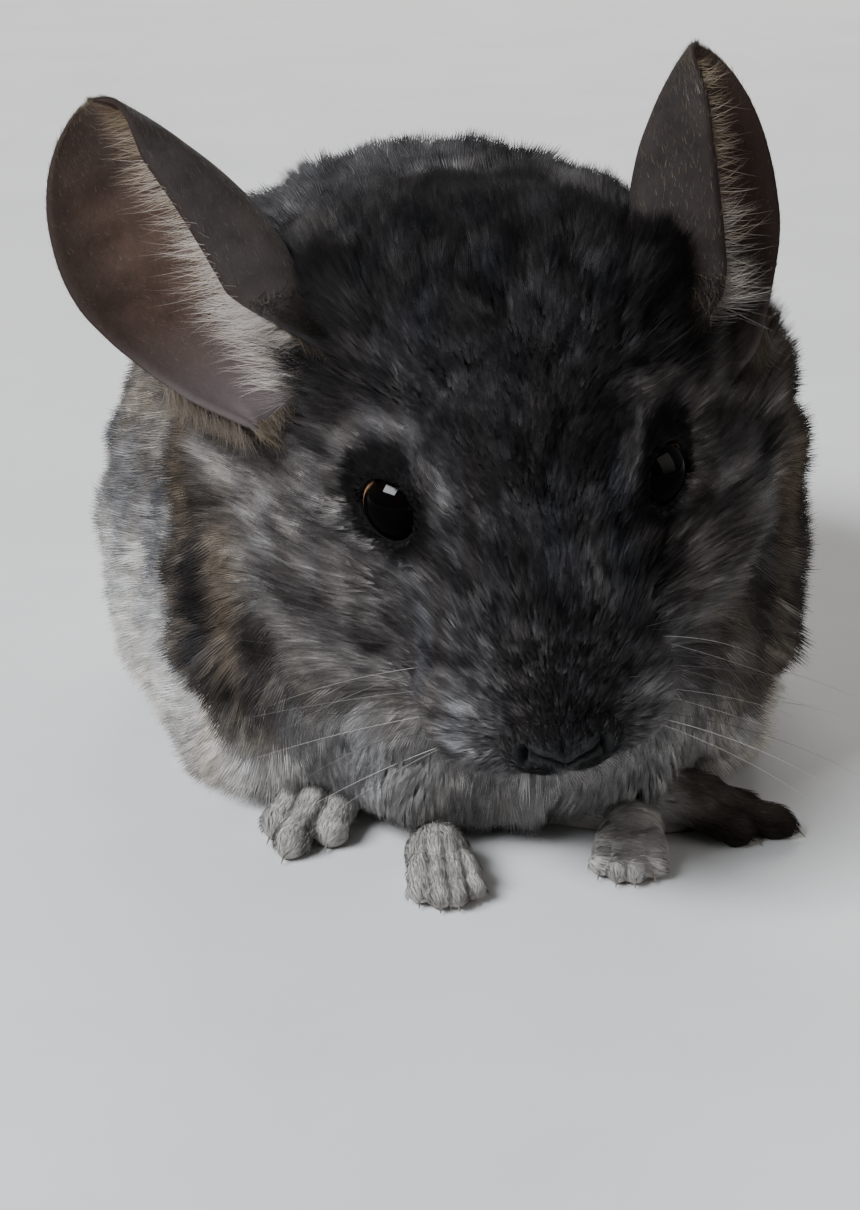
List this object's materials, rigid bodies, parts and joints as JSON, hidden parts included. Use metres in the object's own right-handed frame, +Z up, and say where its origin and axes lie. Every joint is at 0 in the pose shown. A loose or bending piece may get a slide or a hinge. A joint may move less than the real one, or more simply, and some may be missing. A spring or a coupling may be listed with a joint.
{
  "type": "life-size still model of a crouching grey chinchilla",
  "caption": "A grey chinchilla crouched on the floor with its head lowered and its large ears raised, as a life-size still museum-type model.",
  "frame": {"origin": "on the floor, under the middle of the bounding box", "axes": "+Z up, -Y the way the animal faces, +X its left side"},
  "size_m": [0.1308, 0.2892, 0.1231],
  "materials": {
    "coat": "dense soft fur, matt",
    "paw_fur": "short pale fur, matt",
    "ear_skin": "thin bare skin, satin",
    "nose_skin": "bare skin, satin",
    "eye": "wet gloss"
  },
  "bodies": {
    "root": {"torso": "coat", "neck": "coat", "head": "coat", "nose": "nose_skin", "ear_left": "ear_skin", "ear_right": "ear_skin", "eye_left": "eye", "eye_right": "eye", "foreleg_left": "coat", "foreleg_right": "coat", "forepaw_left": "paw_fur", "forepaw_right": "paw_fur", "hind_leg_left": "coat", "hind_leg_right": "coat", "hind_foot_left": "paw_fur", "hind_foot_right": "paw_fur", "tail": "coat"}
  },
  "joints": []
}
